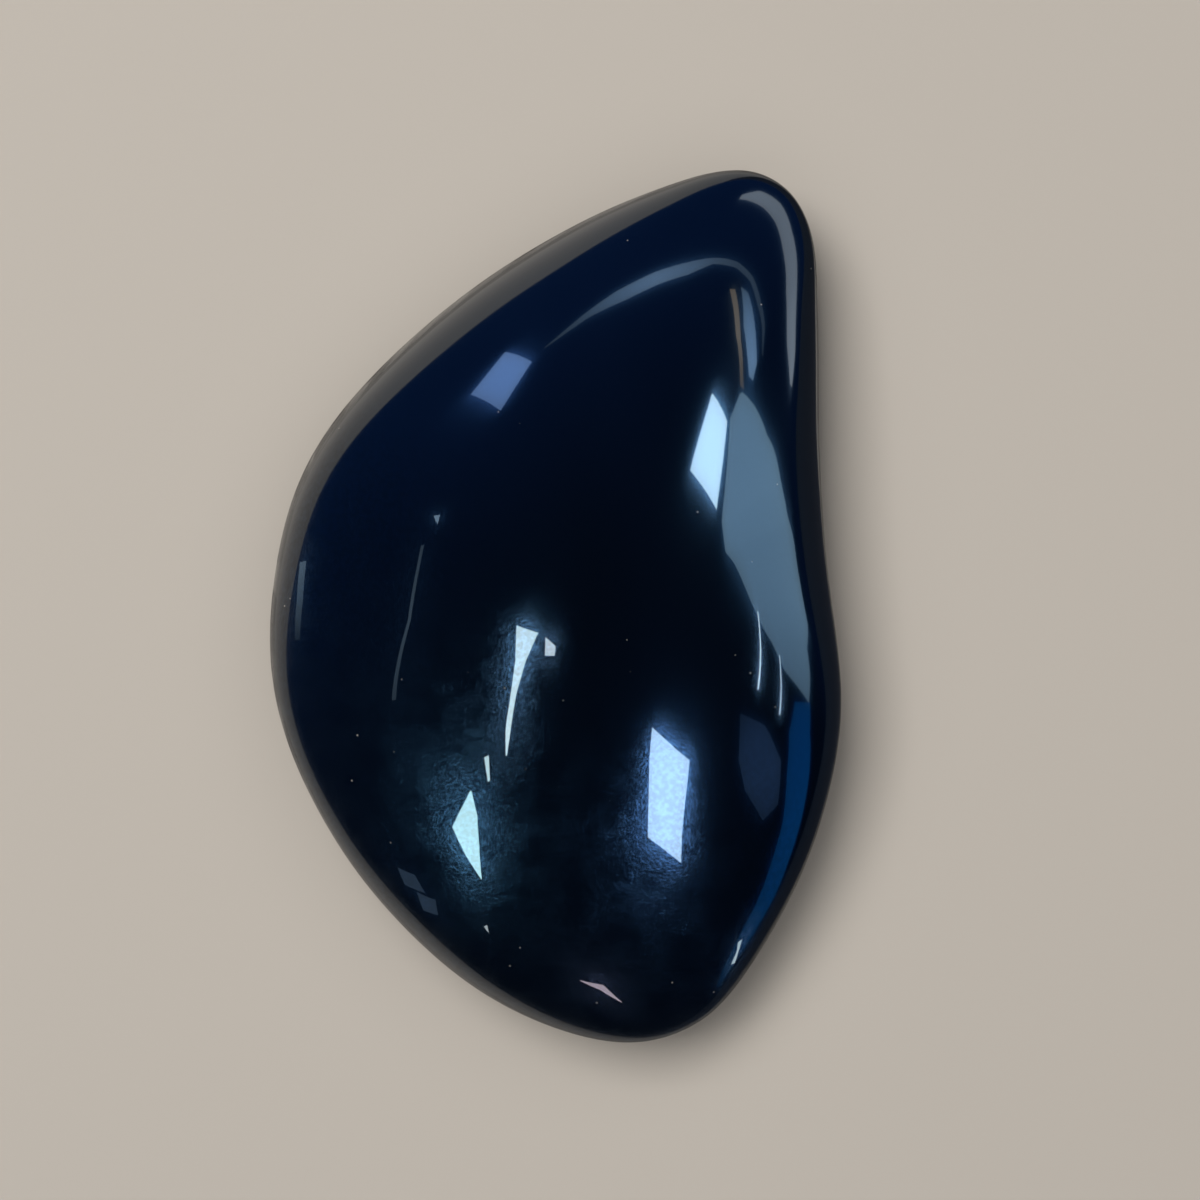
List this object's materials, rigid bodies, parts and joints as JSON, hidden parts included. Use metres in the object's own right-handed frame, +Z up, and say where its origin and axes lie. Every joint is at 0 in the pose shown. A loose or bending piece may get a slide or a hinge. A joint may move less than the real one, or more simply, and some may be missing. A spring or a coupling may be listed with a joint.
{
  "type": "polished stone",
  "caption": "Smooth freeform pebble of black volcanic glass with a domed top, a rounded edge and a small flat underside.",
  "frame": {"origin": "middle of the stone's length and width, on the level of its flat underside", "axes": "+Y along the stone towards its narrow tip, +Z up from the flat underside through the dome"},
  "size_m": [0.057, 0.087, 0.022],
  "materials": {
    "obsidian": "mirror polish"
  },
  "bodies": {
    "root": {"obsidian_stone": "obsidian"}
  },
  "joints": []
}
